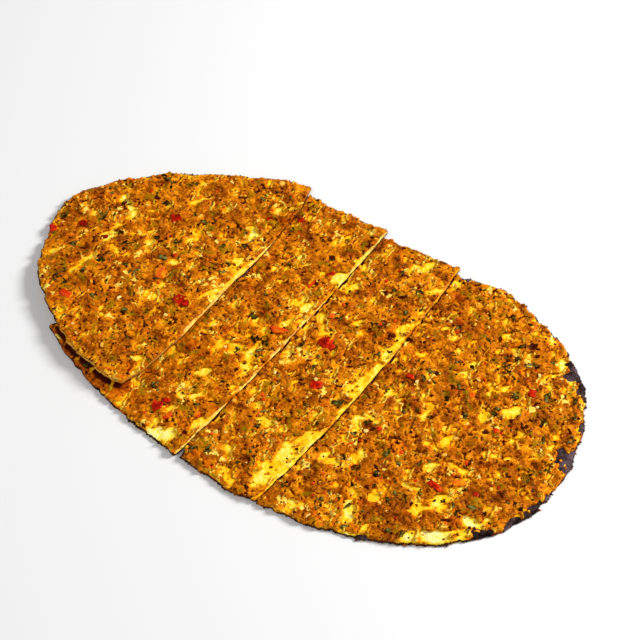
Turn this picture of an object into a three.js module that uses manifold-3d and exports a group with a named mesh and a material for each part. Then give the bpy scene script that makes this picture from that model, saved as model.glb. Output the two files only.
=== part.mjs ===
// A long oval lahmacun, cut across into four slices that still lie together: thin baked dough under
// a layer of minced meat, with pepper dice and leaves in it. Millimetres, +Z up, bread along X.
import * as THREE from 'three';
import { mergeVertices } from 'three/addons/utils/BufferGeometryUtils.js';
import Module from 'manifold-3d';

const wasm = await Module();
wasm.setup();

// Driving dimensions
const HALF_LENGTH = 181; // from the middle to the tip of either end slice
const HALF_WIDTH = 102; // from the middle line to the long rims
const DOUGH = 2.2; // thickness of the baked dough
const RIM_DOUGH = 1.5; // the dough is rolled thinner along its rim
const RIM_BAND = 9; // width over which it thins
const MEAT = 1.7; // mean depth of the meat layer
const LAYER_GAP = 0.3; // between the dough and the meat on it
const CUT_GAP = 0.9; // between two slices that lie side by side
const CUT_LIFT = 1.1; // how far a slice's right-hand cut edge stands up
const CUT_LIFT_BAND = 16; // over this width beside the cut
const RIM_LIFT = 1.4; // how far the rim curls off the table
const RIM_LIFT_BAND = 22;
const RIM_TEAR = 1.3; // how far the torn rim strays from its curve
const OVERLAP_LIFT = 5.3; // how high slice 1 is carried where it lies on slice 2
const OVERLAP_RISE = 38; // the width over which it climbs there
const OVERLAP_TILT = 0.026; // its further rise for each millimetre towards the near corner
const PRESSED_MEAT = 1.0; // depth of the meat that slice 1 presses on
const MEAT_INSET = 2.4; // mean width of bare dough along the rim

// How finely the faces are divided
const RIM_STEP = 6.5;
const CUT_STEP = 15;
const DOUGH_CELL = 15;
const MEAT_CELL = 7.2;

// Where the three cuts meet the near (-Y) and far (+Y) rims, and how far they bow towards +X
const CUT_1 = { near: [-66, -87], far: [-59, 100.4], bow: 6.8, fullness: 4 };
const CUT_2 = { near: [-13.4, -105.2], far: [0.4, 99.4], bow: 2, fullness: 2 };
const CUT_3 = { near: [42.2, -HALF_WIDTH], far: [52.8, 102], bow: 5.2, fullness: 2 };
// The left-hand corners of slices 3 and 4 beside those cuts
const SLICE_3_NEAR = [CUT_2.near[0] + CUT_GAP, -104.7];
const SLICE_3_FAR = [CUT_2.far[0] + CUT_GAP, 94.5];
const SLICE_4_NEAR = [CUT_3.near[0] + CUT_GAP, -102.5];
const SLICE_4_FAR = [CUT_3.far[0] + CUT_GAP, 96.2];
// Slice 2 keeps beside slice 1 down to this share of the cut, then reaches on under it
const TUCK_FROM = 0.56;
const TUCKED_CORNER = [-131.8, -78];
// Slice 4 has a small shoulder in its far rim, beside the cut
const SHOULDER = [82.5, 106.4];
// Slice 1 starts to climb onto slice 2 along this line
const CLIMB_FROM = new THREE.Vector2(-175, -20);
const CLIMB_TO = new THREE.Vector2(-55, 55);

// Large patches with no meat on them: middle, length, width and turn in degrees
const BARE_PATCHES = {
  slice_1: [[-134, -11, 9, 8, 35], [-66, 49, 10, 8, 35], [-147, 22, 18, 5, -23], [-70, -68, 12, 6, 47]],
  slice_2: [[-29, -98, 19, 16, 35], [-7, 21, 13, 11, 80], [-27, 49, 13, 7, 59]],
  slice_3: [[41, -70, 49, 15, 81], [49, -14, 37, 12, 87], [38, 80, 30, 6, 74]],
  slice_4: [[133, 33, 11, 8, 35], [122, 20, 10, 9, 35], [112, -8, 14, 8, 87], [114, -24, 9, 9, 35],
    [140, -62, 28, 10, 35], [150, -41, 15, 9, -9], [90, -74, 17, 8, 125], [131, -38, 10, 8, 35],
    [176, 38, 40, 11, 106], [176, -14, 24, 10, 70]],
};

// Pepper and tomato dice that stand out of the meat: middle, length, width and turn in degrees
const DICE = {
  slice_1: [[-161, -7, 6, 5, 103], [-115, 30, 8, 6, 47], [-134, -57, 9, 6, -3], [-72, -20, 10, 9, 12],
    [-95, -12, 8, 8, 35]],
  slice_2: [[-12, -1, 10, 5, 23], [-41, -85, 7, 7, 35], [-32, -87, 7, 4, 58], [-15, 41, 11, 6, 59]],
  slice_3: [[17, 9, 11, 9, -10], [28, -19, 8, 6, 35]],
  slice_4: [[137, 50, 7, 5, 12], [120, 78, 9, 4, 35], [123, -35, 9, 5, -4], [132, -26, 12, 4, 29],
    [131, -11, 7, 5, 1]],
};
const DICE_RISE = 1.0; // how far a die stands out of the meat
const DICE_DEPTH = 2.2;

// Lumps of mince between them, one to each square of a loose grid
const LUMP_SPACING = 25;
const LUMP_RADIUS = [2.6, 4.4];
const LUMP_FLATTEN = 0.5;

// A repeatable number from 0 to 1 for a whole-number place
function chance(a, b, seed) {
  const s = Math.sin(a * 127.1 + b * 311.7 + seed * 74.7) * 43758.5453;
  return s - Math.floor(s);
}

// Smooth unevenness from -1 to 1, with swells about size wide
function uneven(x, y, size, seed) {
  const u = x / size;
  const v = y / size;
  const i = Math.floor(u);
  const j = Math.floor(v);
  const f = THREE.MathUtils.smoothstep(u - i, 0, 1);
  const g = THREE.MathUtils.smoothstep(v - j, 0, 1);
  const low = THREE.MathUtils.lerp(chance(i, j, seed), chance(i + 1, j, seed), f);
  const high = THREE.MathUtils.lerp(chance(i, j + 1, seed), chance(i + 1, j + 1, seed), f);
  return 2 * THREE.MathUtils.lerp(low, high, g) - 1;
}

// A side from a to b that stands bow out to its right; the fuller, the flatter its middle
class BowedSide extends THREE.Curve {
  constructor(a, b, bow, fullness = 2) {
    super();
    this.a = new THREE.Vector2(...a);
    this.b = new THREE.Vector2(...b);
    this.fullness = fullness;
    const along = this.b.clone().sub(this.a).normalize();
    this.reach = new THREE.Vector2(along.y, -along.x).multiplyScalar(bow);
  }

  getPoint(t, target = new THREE.Vector2()) {
    const share = 1 - Math.abs(2 * t - 1) ** this.fullness;
    return target.lerpVectors(this.a, this.b, t).addScaledVector(this.reach, share);
  }
}

// A cut from its near end to its far one
function cutSide(cut) {
  return new BowedSide(cut.near, cut.far, cut.bow, cut.fullness);
}

// The free left edge of slice 2, beside slice 1's cut, from its far rim down to where it turns in
function freeEdge() {
  const points = [];
  for (let k = 0; k <= 5; k++) {
    const t = THREE.MathUtils.lerp(0.976, TUCK_FROM, k / 5);
    points.push(cutSide(CUT_1).getPoint(t).add(new THREE.Vector2(CUT_GAP, 0)));
  }
  return new THREE.SplineCurve(points);
}

// A quarter of a rounded end, through two handles
function quarterEnd(from, handle, endHandle, to) {
  const points = [from, handle, endHandle, to].map((p) => new THREE.Vector2(...p));
  return new THREE.CubicBezierCurve(...points);
}

// Each slice as its sides in turn, counterclockwise: rims are torn and browned, cuts are clean
const SLICES = {
  slice_1: [
    { rim: quarterEnd(CUT_1.far, [-84, 101], [-HALF_LENGTH, 40], [-HALF_LENGTH, 0]) },
    { rim: quarterEnd([-HALF_LENGTH, 0], [-HALF_LENGTH, -71], [-95, -91.5], CUT_1.near) },
    { cut: cutSide(CUT_1) },
  ],
  slice_2: [
    { rim: new BowedSide(TUCKED_CORNER, CUT_2.near, 6) },
    { cut: cutSide(CUT_2) },
    { rim: new BowedSide(CUT_2.far, freeEdge().getPoint(0), -1.5) },
    { cut: freeEdge() },
    { cut: new BowedSide(freeEdge().getPoint(1), TUCKED_CORNER, 0) },
  ],
  slice_3: [
    { rim: new BowedSide(SLICE_3_NEAR, CUT_3.near, 1) },
    { cut: cutSide(CUT_3) },
    { rim: new BowedSide(CUT_3.far, SLICE_3_FAR, -0.5) },
    { cut: new BowedSide(SLICE_3_FAR, SLICE_3_NEAR, -CUT_2.bow) },
  ],
  slice_4: [
    { rim: quarterEnd(SLICE_4_NEAR, [91, -98.8], [HALF_LENGTH, -65], [HALF_LENGTH, 6]) },
    { rim: quarterEnd([HALF_LENGTH, 6], [HALF_LENGTH, 97], [110, 97], SHOULDER) },
    { rim: new BowedSide(SHOULDER, SLICE_4_FAR, -1) },
    { cut: new BowedSide(SLICE_4_FAR, SLICE_4_NEAR, -CUT_3.bow) },
  ],
};

// Points round a slice with their outward normals, even steps apart
function outlineOf(sides) {
  const points = sides.flatMap((side) => {
    const curve = side.rim ?? side.cut;
    const steps = Math.max(1, Math.round(curve.getLength() / (side.rim ? RIM_STEP : CUT_STEP)));
    return curve.getSpacedPoints(steps).slice(0, -1).map((at) => ({ at, rim: Boolean(side.rim) }));
  });
  return points.map(({ at, rim }, i) => {
    const before = points[(i + points.length - 1) % points.length].at;
    const after = points[(i + 1) % points.length].at;
    const along = after.clone().sub(before).normalize();
    const outward = new THREE.Vector2(along.y, -along.x);
    const torn = rim ? RIM_TEAR * (0.6 * uneven(at.x, at.y, 9, 3) + 0.8 * uneven(at.x, at.y, 26, 5)) : 0;
    return { at: at.clone().addScaledVector(outward, torn), outward, rim };
  });
}

// How far a point lies inside the nearest rim point, at most band
function insideRim(outline, x, y, band) {
  const distances = outline.filter((p) => p.rim).map((p) => Math.hypot(p.at.x - x, p.at.y - y));
  return Math.min(band, ...distances);
}

// How far a point is past the line on which slice 1 starts to climb
function pastClimb(x, y) {
  const along = CLIMB_TO.clone().sub(CLIMB_FROM).normalize();
  return (x - CLIMB_FROM.x) * along.y - (y - CLIMB_FROM.y) * along.x;
}

// X of a cut at height y of the plan
function cutAt(cut, y) {
  const t = THREE.MathUtils.clamp((y - cut.near[1]) / (cut.far[1] - cut.near[1]), 0, 1);
  return cutSide(cut).getPoint(t).x;
}

// Height of a slice's underside over the table
function lieOf(name, outline, x, y) {
  const curl = 1 - insideRim(outline, x, y, RIM_LIFT_BAND) / RIM_LIFT_BAND;
  const swell = 0.5 + 0.5 * uneven(x, y, 60, 11);
  let height = RIM_LIFT * swell * curl * curl;
  const rightCut = { slice_2: CUT_2, slice_3: CUT_3 }[name];
  if (rightCut) {
    const near = 1 - (cutAt(rightCut, y) - x) / CUT_LIFT_BAND;
    height += CUT_LIFT * THREE.MathUtils.smoothstep(near, 0, 1);
  }
  if (name === 'slice_1') {
    const past = pastClimb(x, y);
    height += OVERLAP_LIFT * THREE.MathUtils.smoothstep(past, 0, OVERLAP_RISE);
    height += OVERLAP_TILT * Math.max(0, past - OVERLAP_RISE);
  }
  return height;
}

// Whether slice 1 lies over this place of slice 2, or within margin of it
function underSlice1(name, x, y, margin) {
  return name === 'slice_2' && x < cutAt(CUT_1, y) + margin && pastClimb(x, y) > 0;
}

// Depth of the meat, whose mince is heaped in soft clumps
function meatDepth(name, outline, x, y) {
  const clumps = 0.55 * uneven(x, y, 19, 21) + 0.6 * uneven(x, y, 8, 22);
  const edge = THREE.MathUtils.smoothstep(insideRim(outline, x, y, 10), 0, 10);
  const depth = MEAT * (0.45 + 0.55 * edge) + clumps;
  return underSlice1(name, x, y, 5) ? Math.min(PRESSED_MEAT, depth) : Math.max(0.7, depth);
}

// The same geometry with its touching corners joined
function weld(geometry) {
  geometry.deleteAttribute('normal');
  geometry.deleteAttribute('uv');
  return mergeVertices(geometry, 1e-4);
}

// A closed solid from a geometry, and back
function solidOf(geometry) {
  const merged = weld(geometry);
  return new wasm.Manifold(new wasm.Mesh({
    numProp: 3,
    vertProperties: new Float32Array(merged.attributes.position.array),
    triVerts: new Uint32Array(merged.index.array),
  }));
}

function geometryOf(solid) {
  const { vertProperties, triVerts } = solid.getMesh();
  const geometry = new THREE.BufferGeometry();
  geometry.setAttribute('position', new THREE.BufferAttribute(vertProperties, 3));
  geometry.setIndex(new THREE.BufferAttribute(triVerts, 1));
  geometry.computeVertexNormals();
  return geometry;
}

// A slab over the box, with one face at height(x, y) and the other flat at level
function reliefSlab(box, cell, height, level) {
  const columns = Math.ceil((box.max.x - box.min.x) / cell) + 2;
  const rows = Math.ceil((box.max.y - box.min.y) / cell) + 2;
  const positions = [];
  for (const flat of [false, true]) {
    for (let j = 0; j <= rows; j++) {
      for (let i = 0; i <= columns; i++) {
        const x = box.min.x + (i - 1) * cell;
        const y = box.min.y + (j - 1) * cell;
        positions.push(x, y, flat ? level : height(x, y));
      }
    }
  }
  const layer = (columns + 1) * (rows + 1);
  const at = (i, j, flat) => j * (columns + 1) + i + (flat ? layer : 0);
  const index = [];
  const quad = (a, b, c, d) => index.push(a, b, c, a, c, d);
  for (let j = 0; j < rows; j++) {
    for (let i = 0; i < columns; i++) {
      quad(at(i, j), at(i + 1, j), at(i + 1, j + 1), at(i, j + 1));
      quad(at(i, j, true), at(i, j + 1, true), at(i + 1, j + 1, true), at(i + 1, j, true));
    }
  }
  for (let i = 0; i < columns; i++) {
    quad(at(i, 0, true), at(i + 1, 0, true), at(i + 1, 0), at(i, 0));
    quad(at(i + 1, rows, true), at(i, rows, true), at(i, rows), at(i + 1, rows));
  }
  for (let j = 0; j < rows; j++) {
    quad(at(columns, j, true), at(columns, j + 1, true), at(columns, j + 1), at(columns, j));
    quad(at(0, j + 1, true), at(0, j, true), at(0, j), at(0, j + 1));
  }
  if (level > height(box.min.x, box.min.y)) index.reverse();
  const geometry = new THREE.BufferGeometry();
  geometry.setAttribute('position', new THREE.Float32BufferAttribute(positions, 3));
  geometry.setIndex(index);
  return solidOf(geometry);
}

// An upright prism on an outline, tall enough to trim any layer
function prism(points) {
  const geometry = new THREE.ExtrudeGeometry(new THREE.Shape(points), { depth: 60, bevelEnabled: false });
  return solidOf(geometry.translate(0, 0, -20));
}

// The ragged outline of a patch with no meat
function patchPrism([x, y, length, width, turn]) {
  const points = [];
  for (let k = 0; k < 9; k++) {
    const angle = k * Math.PI * 2 / 9;
    const reach = 0.5 + 0.16 * uneven(x + 9 * Math.cos(angle), y + 9 * Math.sin(angle), 5, 31);
    const spot = new THREE.Vector2(length * reach * Math.cos(angle), width * reach * Math.sin(angle));
    points.push(spot.rotateAround(new THREE.Vector2(), THREE.MathUtils.degToRad(turn)).add({ x, y }));
  }
  return prism(points);
}

// A cut die of pepper, thinner to one end, lying tipped in the meat
function die(x, y, z, length, width, turn) {
  const geometry = new THREE.BoxGeometry(length, width, DICE_DEPTH, 2, 1, 1);
  const position = geometry.attributes.position;
  for (let i = 0; i < position.count; i++) {
    const taper = 1 - 0.3 * (position.getX(i) / length + 0.5);
    position.setY(i, position.getY(i) * taper);
    position.setZ(i, position.getZ(i) - 1.2 * (position.getX(i) / length) ** 2);
  }
  geometry.rotateX(0.12 * (2 * chance(x, y, 41) - 1));
  geometry.rotateZ(THREE.MathUtils.degToRad(turn));
  return solidOf(geometry.translate(x, y, z + DICE_RISE - DICE_DEPTH / 2));
}

// A lump of mince with few flat sides
function lump(x, y, z, radius, seed) {
  const geometry = weld(new THREE.IcosahedronGeometry(radius, 0));
  const position = geometry.attributes.position;
  for (let i = 0; i < position.count; i++) {
    const corner = new THREE.Vector3().fromBufferAttribute(position, i);
    corner.multiplyScalar(0.8 + 0.4 * chance(i, seed, 51));
    position.setXYZ(i, corner.x, corner.y, corner.z * LUMP_FLATTEN);
  }
  geometry.rotateZ(chance(seed, 1, 52) * Math.PI);
  return solidOf(geometry.translate(x, y, z));
}

// The dough of one slice: a thin sheet with a thinner rim, lying as lieOf says
function doughOf(name, outline, box) {
  const lower = (x, y) => lieOf(name, outline, x, y);
  const upper = (x, y) => {
    const inside = insideRim(outline, x, y, RIM_BAND) / RIM_BAND;
    return lower(x, y) + THREE.MathUtils.lerp(RIM_DOUGH, DOUGH, inside);
  };
  const sheet = reliefSlab(box, DOUGH_CELL, upper, -10).intersect(reliefSlab(box, DOUGH_CELL, lower, 40));
  const solid = sheet.intersect(prism(outline.map((p) => p.at)));
  return { solid, upper };
}

// Lumps on the surface of one slice, away from its rims and from what lies on it
function lumpsOf(name, outline, box, surface) {
  const lumps = [];
  for (let i = Math.ceil(box.min.x / LUMP_SPACING); i * LUMP_SPACING < box.max.x; i++) {
    for (let j = Math.ceil(box.min.y / LUMP_SPACING); j * LUMP_SPACING < box.max.y; j++) {
      const x = (i + 0.7 * chance(i, j, 61)) * LUMP_SPACING;
      const y = (j + 0.7 * chance(i, j, 62)) * LUMP_SPACING;
      const radius = THREE.MathUtils.lerp(...LUMP_RADIUS, chance(i, j, 63));
      const clear = insideRim(outline, x, y, 9) >= 9 && !underSlice1(name, x, y, 8);
      if (clear) lumps.push(lump(x, y, surface(x, y), radius, i * 31 + j));
    }
  }
  return lumps;
}

// The meat of one slice, with its dice and lumps fused on and its bare patches left open
function meatOf(name, outline, box, doughTop) {
  const floor = (x, y) => doughTop(x, y) + LAYER_GAP;
  const surface = (x, y) => floor(x, y) + meatDepth(name, outline, x, y);
  const dice = DICE[name].map(([x, y, ...shape]) => die(x, y, surface(x, y), ...shape));
  const trimmed = outline.map((p) => {
    const inset = p.rim ? MEAT_INSET * (1 + 0.6 * uneven(p.at.x, p.at.y, 12, 71)) : 0.2;
    return p.at.clone().addScaledVector(p.outward, -inset);
  });
  let solid = reliefSlab(box, MEAT_CELL, surface, -10);
  for (const bit of [...dice, ...lumpsOf(name, outline, box, surface)]) solid = solid.add(bit);
  solid = solid.intersect(reliefSlab(box, DOUGH_CELL, floor, 40)).intersect(prism(trimmed));
  for (const patch of BARE_PATCHES[name]) solid = solid.subtract(patchPrism(patch));
  return solid.decompose().reduce((best, one) => (one.volume() > best.volume() ? one : best));
}

const doughFinish = new THREE.MeshStandardMaterial({ color: 0xe6b45a, roughness: 0.7, metalness: 0 });
const meatFinish = new THREE.MeshStandardMaterial({ color: 0xb8660e, roughness: 0.6, metalness: 0 });

const bread = new THREE.Group();
for (const [name, sides] of Object.entries(SLICES)) {
  const outline = outlineOf(sides);
  const box = new THREE.Box2().setFromPoints(outline.map((p) => p.at));
  const dough = doughOf(name, outline, box);
  const doughMesh = new THREE.Mesh(geometryOf(dough.solid), doughFinish);
  doughMesh.name = `${name}_dough`;
  const meatMesh = new THREE.Mesh(geometryOf(meatOf(name, outline, box, dough.upper)), meatFinish);
  meatMesh.name = `${name}_meat`;
  bread.add(doughMesh, meatMesh);
}

// The origin is at the middle of the bread's box, on the table
const whole = new THREE.Box3().setFromObject(bread);
const lahmacun = new THREE.Group();
bread.position.set(-(whole.min.x + whole.max.x) / 2, -(whole.min.y + whole.max.y) / 2, -whole.min.z);
lahmacun.add(bread);

export default lahmacun;
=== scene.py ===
import math

import bmesh
import bpy
import numpy as np
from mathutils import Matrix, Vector
from mathutils.bvhtree import BVHTree


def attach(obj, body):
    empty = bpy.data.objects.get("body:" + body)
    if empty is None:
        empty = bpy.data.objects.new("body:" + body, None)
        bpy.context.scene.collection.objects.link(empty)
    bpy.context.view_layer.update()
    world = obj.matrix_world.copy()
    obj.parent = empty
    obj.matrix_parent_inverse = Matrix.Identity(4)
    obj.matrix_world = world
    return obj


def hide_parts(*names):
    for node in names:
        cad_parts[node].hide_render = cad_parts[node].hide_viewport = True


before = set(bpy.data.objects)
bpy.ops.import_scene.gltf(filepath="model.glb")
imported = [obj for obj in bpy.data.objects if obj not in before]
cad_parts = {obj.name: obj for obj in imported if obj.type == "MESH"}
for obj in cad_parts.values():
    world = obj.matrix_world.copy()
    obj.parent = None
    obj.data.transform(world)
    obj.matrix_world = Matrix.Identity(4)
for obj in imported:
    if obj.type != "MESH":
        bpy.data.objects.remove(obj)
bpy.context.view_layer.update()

# Camera: it looks down on the bread from its near right-hand side, 58 degrees above the floor and
# about a metre away, through a long lens.
camera = bpy.data.objects.new("camera", bpy.data.cameras.new("camera"))
bpy.context.collection.objects.link(camera)
camera.data.lens = 96.0
camera.data.sensor_width = 36.0
camera.location = (0.3214, -0.4340, 0.8904)
look_at = Vector((0.00227, 0.02177, 0.0))
camera.rotation_euler = (look_at - camera.location).to_track_quat("-Z", "Y").to_euler()
bpy.context.scene.camera = camera
bpy.context.scene.view_settings.view_transform = "Standard"

# Dough: one long oval sheet of wheat dough, rolled 2 mm thin, baked hard on a hot stone and then
# cut across into four slices. Its rim is torn, browned and burnt in places, its underside is
# floury with brown scorch spots, and its cut edges show the pale inside.
# The width of a cell of the dough's mesh, and the step between the points of its outline, in mm
DOUGH_CELL = 0.95
OUTLINE_STEP = 0.4
# A place well inside each slice, from which its outline is followed round
SLICE_CENTRES = {
    "slice_1": (-110, 0),
    "slice_2": (-32, -30),
    "slice_3": (20, 0),
    "slice_4": (110, 0),
}


def chance(i, j, seed):
    """A repeatable number from 0 to 1 for each whole-number place."""
    s = np.sin(i * 127.1 + j * 311.7 + seed * 74.7) * 43758.5453
    return s - np.floor(s)


def swell(x, y, size, seed):
    """Smooth unevenness from -1 to 1, with swells about size wide."""
    turn = 0.6 + seed
    u = (x * math.cos(turn) - y * math.sin(turn)) / size + 50
    v = (x * math.sin(turn) + y * math.cos(turn)) / size + 50
    i, j = np.floor(u), np.floor(v)
    f, g = u - i, v - j
    f, g = f * f * (3 - 2 * f), g * g * (3 - 2 * g)
    low = chance(i, j, seed) * (1 - f) + chance(i + 1, j, seed) * f
    high = chance(i, j + 1, seed) * (1 - f) + chance(i + 1, j + 1, seed) * f
    return 2 * (low * (1 - g) + high * g) - 1


def swells(x, y, *parts):
    """The sum of several swells, each given by its height, size and seed."""
    return sum(height * swell(x, y, size, seed) for height, size, seed in parts)


def rough(x, y, size, seed):
    """Three swells of falling size laid over each other, about -1 to 1."""
    return sum(swell(x, y, size / 2**k, seed + 7 * k) / 1.7**k for k in range(3)) / 1.5


def smoothstep(value, low, high):
    """0 where value is past low, 1 where it is past high, and smooth between."""
    t = np.clip((value - low) / (high - low), 0, 1)
    return t * t * (3 - 2 * t)


def cad_outline(name):
    """The slice's outline from the walls of its CAD dough, counterclockwise, in mm."""
    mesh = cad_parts[f"{name}_dough"].data
    walls = [face for face in mesh.polygons if abs(face.normal.z) < 0.3]
    corners = [mesh.vertices[v].co[:2] for wall in walls for v in wall.vertices]
    points = np.unique(np.round(np.array(corners) * 1000, 2), axis=0)
    away = points - SLICE_CENTRES[name]
    points = points[np.argsort(np.arctan2(away[:, 1], away[:, 0]))]
    closed = np.vstack([points, points[:1]])
    along = np.concatenate([[0], np.cumsum(np.hypot(*np.diff(closed, axis=0).T))])
    stops = np.arange(0, along[-1], OUTLINE_STEP)
    return np.stack([np.interp(stops, along, closed[:, k]) for k in (0, 1)], 1)


# Each knife cut: near end, far end, how far it bows to the right, how square the bow is
KNIFE_CUTS = [
    ((-66, -87), (-59, 100.4), 6.8, 4),
    ((-13.4, -105.2), (0.4, 99.4), 2, 2),
    ((42.2, -102), (52.8, 102), 5.2, 2),
]
# The left-hand edge of slice 2, which lies under slice 1
HIDDEN_CUT = ((-131.8, -78), (-54.5, 18))


def cut_distance(points):
    """How far each point is from the nearest knife cut, in mm."""
    t = np.linspace(0, 1, 300)
    nearest = np.full(len(points), 1e3)
    for near_end, far_end, bow, squareness in [*KNIFE_CUTS, (*HIDDEN_CUT, 0, 2)]:
        line = np.array(near_end) + np.subtract(far_end, near_end) * t[:, None]
        line[:, 0] += bow * (1 - np.abs(2 * t - 1) ** squareness)
        nearest = np.minimum(nearest, nearest_on(line, points)[1])
    return nearest


def nearest_on(line, points):
    """Which point of line is nearest to each of the points, and how far off it is."""
    which, far = np.empty(len(points), int), np.empty(len(points))
    for k in range(0, len(points), 4000):
        squared = ((points[k:k + 4000, None] - line[None]) ** 2).sum(2)
        which[k:k + 4000] = squared.argmin(1)
        far[k:k + 4000] = np.sqrt(squared.min(1))
    return which, far


def grid_distance(x, y, line):
    """Distance from each grid point to the nearest point of line."""
    return nearest_on(line, np.stack([x.ravel(), y.ravel()], 1))[1].reshape(x.shape)


def around(values, width):
    """The values averaged along a closed loop."""
    kernel = np.hanning(width + 2)[1:-1]
    kernel /= kernel.sum()
    wrapped = np.concatenate([values[-width:], values, values[:width]])
    return np.convolve(wrapped, kernel, "same")[width:-width]


# How near a knife cut the outline is a cut edge and no rim, and the number of outline points over
# which one turns into the other
CUT_REACH = 2.2
CUT_BLEND = 15
# The number of outline points over which the solids' facets are rounded off along the rim
FACET_BLEND = 21
# Height, length and seed of the waves and teeth of the torn rim, and of the unevenness of a cut
RIM_WAVES = [(0.5, 4.5, 3), (0.45, 2.0, 5), (0.7, 13, 7)]
CUT_WAVES = [(0.5, 9, 13), (0.25, 3, 14)]
# How deep the largest bites in the rim are, and how far all of it is drawn in
BITE_DEPTH = 1.1
RIM_INSET = 0.25
# How far each left-hand cut edge leans towards the slice before it, and how much more where they touch
CUT_CLOSING = 0.4
CUT_TOUCHING = 0.42


def torn_outline(name):
    """The slice's fine outline with a torn rim, how much of a rim each point is, and the way out."""
    line = cad_outline(name)
    rim = around((cut_distance(line) > CUT_REACH).astype(float), CUT_BLEND)
    soft = np.stack([around(values, FACET_BLEND) for values in line.T], 1)
    line = line + (soft - line) * rim[:, None]
    ahead = np.roll(line, -3, 0) - np.roll(line, 3, 0)
    ahead /= np.hypot(*ahead.T)[:, None]
    outward = np.stack([ahead[:, 1], -ahead[:, 0]], 1)
    x, y = line.T
    torn = swells(x, y, *RIM_WAVES) - RIM_INSET
    torn -= BITE_DEPTH * smoothstep(swell(x, y, 7, 9), 0.45, 0.9)
    closing = CUT_CLOSING + CUT_TOUCHING * smoothstep(swell(x, y, 8, 11), 0.0, 0.6)
    beside = closing * (1 - rim) * (outward[:, 0] < 0)
    line = line + outward * (torn * rim + beside)[:, None]
    line[:, 0] += (1 - rim) * swells(0 * x, y, *CUT_WAVES)
    return line, rim, outward


def inside_of(line, x, y):
    """Whether each grid point is inside the closed line, row by row."""
    ax, ay = line.T
    bx, by = np.roll(ax, -1), np.roll(ay, -1)
    inside = np.zeros(x.shape, bool)
    for r in range(x.shape[0]):
        height = y[r, 0]
        hit = (ay > height) != (by > height)
        cross = ax[hit] + (height - ay[hit]) * (bx[hit] - ax[hit]) / (by[hit] - ay[hit])
        inside[r] = (np.searchsorted(np.sort(cross), x[r]) % 2) == 1
    return inside


def grid_over(line, cell):
    """The x and y of a square grid that covers the outline."""
    low = line.min(0) - cell
    high = line.max(0) + cell
    return np.meshgrid(np.arange(low[0], high[0], cell), np.arange(low[1], high[1], cell))


def four_of(grid):
    """The four neighbours in each square of a grid, counterclockwise."""
    return grid[:-1, :-1], grid[:-1, 1:], grid[1:, 1:], grid[1:, :-1]


def kept_cells(inside):
    """The cells of a grid whose four corners are inside."""
    return np.all(four_of(inside), axis=0)


def snap_to(line, x, y, keep, reach):
    """Moves the edge corners of the kept cells onto the line, where it is within reach."""
    cells_round = np.sum(four_of(np.pad(keep, 1)), axis=0)
    edge = (cells_round > 0) & (cells_round < 4)
    at = np.stack([x[edge], y[edge]], 1)
    which, far = nearest_on(line, at)
    at[far < reach] = line[which[far < reach]]
    x[edge], y[edge] = at.T


def slab_faces(keep, number, count):
    """The top, the underside and the walls of a sheet over the kept cells, as corner numbers."""
    edge = np.pad(keep, 1)
    a, b, c, d = four_of(number)
    top = np.stack([a[keep], b[keep], c[keep], d[keep]], 1)
    faces = [top, top[:, ::-1] + count]
    sides = (
        (a, b, edge[:-2, 1:-1]), (b, c, edge[1:-1, 2:]), (c, d, edge[2:, 1:-1]), (d, a, edge[1:-1, :-2]),
    )
    for first, second, beyond in sides:
        wall = keep & ~beyond
        p, q = first[wall], second[wall]
        faces.append(np.stack([p + count, q + count, q, p], 1))
    return np.concatenate(faces)


def piece_of(name, points, faces):
    """A piece from its points in mm and its faces, which have three or four corners each."""
    mesh = bpy.data.meshes.new(name)
    mesh.vertices.add(len(points))
    mesh.vertices.foreach_set("co", (points / 1000).ravel())
    mesh.loops.add(faces.size)
    mesh.loops.foreach_set("vertex_index", faces.ravel())
    mesh.polygons.add(len(faces))
    mesh.polygons.foreach_set("loop_start", np.arange(0, faces.size, faces.shape[1]))
    mesh.update(calc_edges=True)
    mesh.shade_smooth()
    piece = bpy.data.objects.new(name, mesh)
    bpy.context.collection.objects.link(piece)
    return piece


def store_shade(piece, label, values):
    """Stores a number at each point of the piece, which its material reads."""
    store = piece.data.attributes.new(label, "FLOAT", "POINT")
    store.data.foreach_set("value", values.astype(np.float32).ravel())


def slab(name, x, y, keep, top, bottom, shades):
    """A closed sheet over the kept cells. A shade is the same above and below, or a pair."""
    used = np.any(four_of(np.pad(keep, 1)), axis=0)
    count = int(used.sum())
    number = np.full(x.shape, -1)
    number[used] = np.arange(count)
    points = np.concatenate([
        np.stack([x[used], y[used], top[used]], 1),
        np.stack([x[used], y[used], bottom[used]], 1),
    ])
    piece = piece_of(name, points, slab_faces(keep, number, count))
    for label, values in shades.items():
        upper, lower = values if isinstance(values, tuple) else (values, values)
        store_shade(piece, label, np.concatenate([upper[used], lower[used]]))
    return piece


# Heights are read at every fourth grid point, by a ray that starts 50 mm below or above the floor
READ_EVERY = 4
RAY_START = 0.05


def heights_of(node, x, y, upward):
    """Height of a CAD node's underside (upward) or top over the grid, evened out."""
    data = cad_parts[node].data
    data.calc_loop_triangles()
    tree = BVHTree.FromPolygons([v.co for v in data.vertices], [t.vertices for t in data.loop_triangles])
    start, way = (-RAY_START, 1) if upward else (RAY_START, -1)
    coarse_x, coarse_y = x[::READ_EVERY, ::READ_EVERY] / 1000, y[::READ_EVERY, ::READ_EVERY] / 1000
    coarse = np.full(coarse_x.shape, np.nan)
    for at in np.ndindex(coarse.shape):
        hit = tree.ray_cast(Vector((coarse_x[at], coarse_y[at], start)), Vector((0, 0, way)))[0]
        if hit:
            coarse[at] = hit.z * 1000
    return spread(coarse, x.shape)


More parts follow.
